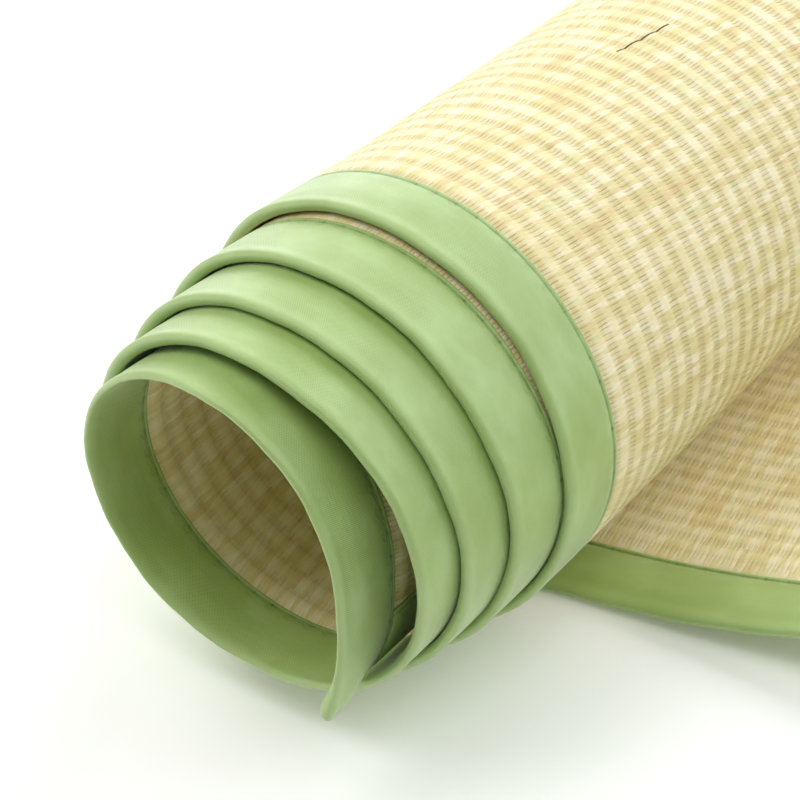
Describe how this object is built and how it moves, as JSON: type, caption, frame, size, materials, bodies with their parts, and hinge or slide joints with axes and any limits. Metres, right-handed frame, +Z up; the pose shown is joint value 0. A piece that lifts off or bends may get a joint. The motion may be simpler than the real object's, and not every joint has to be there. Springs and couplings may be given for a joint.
{
  "type": "rolled straw mat",
  "caption": "Rectangular woven rush mat edged with folded cloth strips, wound into a hollow roll with stepped rims and an unrolled tail.",
  "frame": {"origin": "middle of the flat strip under the roll, on the floor plane", "axes": "+Y along the roll, from the stepped rims to the plain end; +X towards the unrolled tail; +Z up"},
  "size_m": [0.2441, 1.0261, 0.1285],
  "materials": {
    "woven_straw": "woven rush, dull with a slight natural gloss",
    "binding_cloth": "fine plain weave with a soft satin sheen"
  },
  "bodies": {
    "root": {"straw_panel": "woven_straw", "binding_front": "binding_cloth", "binding_back": "binding_cloth", "binding_inner_end": "binding_cloth", "binding_outer_end": "binding_cloth"}
  },
  "joints": []
}
